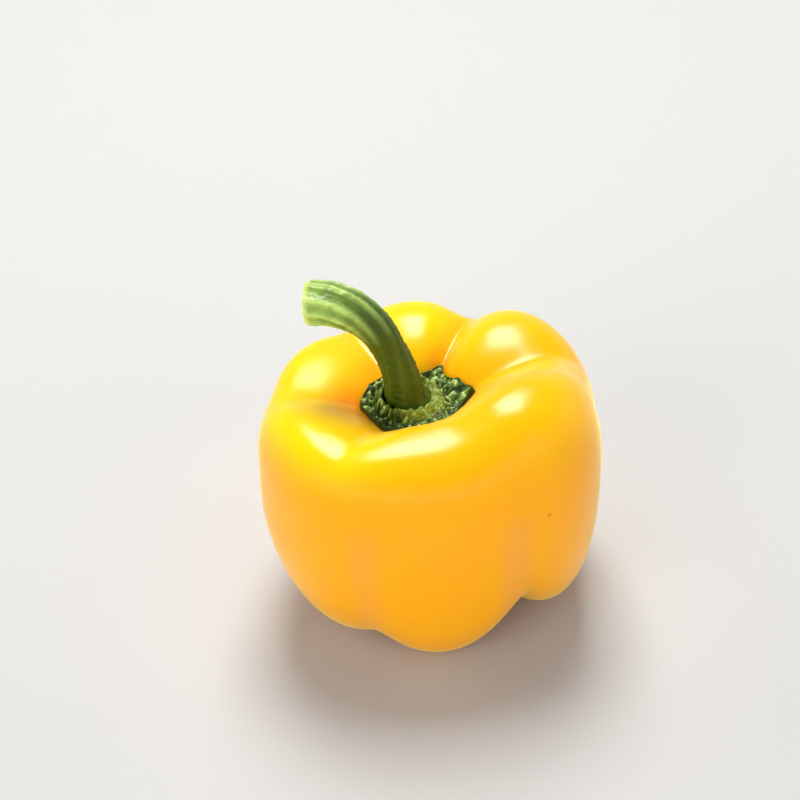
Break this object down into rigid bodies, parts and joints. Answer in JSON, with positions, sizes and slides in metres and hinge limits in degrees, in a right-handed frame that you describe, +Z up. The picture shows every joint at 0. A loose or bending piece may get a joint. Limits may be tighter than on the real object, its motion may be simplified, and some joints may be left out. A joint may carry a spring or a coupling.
{
  "type": "yellow bell pepper",
  "caption": "Whole blocky yellow bell pepper with deep shoulder grooves, a knobbly green calyx and a bent, ribbed stem.",
  "frame": {"origin": "middle of the pepper's box, on the surface it stands on", "axes": "+Z up along the pepper's height, -Y towards the side with the widest lobe, -X the way the stem bends"},
  "size_m": [0.083, 0.079, 0.0895],
  "materials": {
    "skin": "smooth waxy skin, bright yellow on top and deeper orange-yellow down the sides",
    "calyx": "knobbly fleshy green with pale ridges",
    "stem": "smooth dark olive green at the foot, ribbed and pale green towards the cut end"
  },
  "bodies": {
    "root": {"fruit": "skin", "calyx": "calyx", "stem": "stem"}
  },
  "joints": []
}
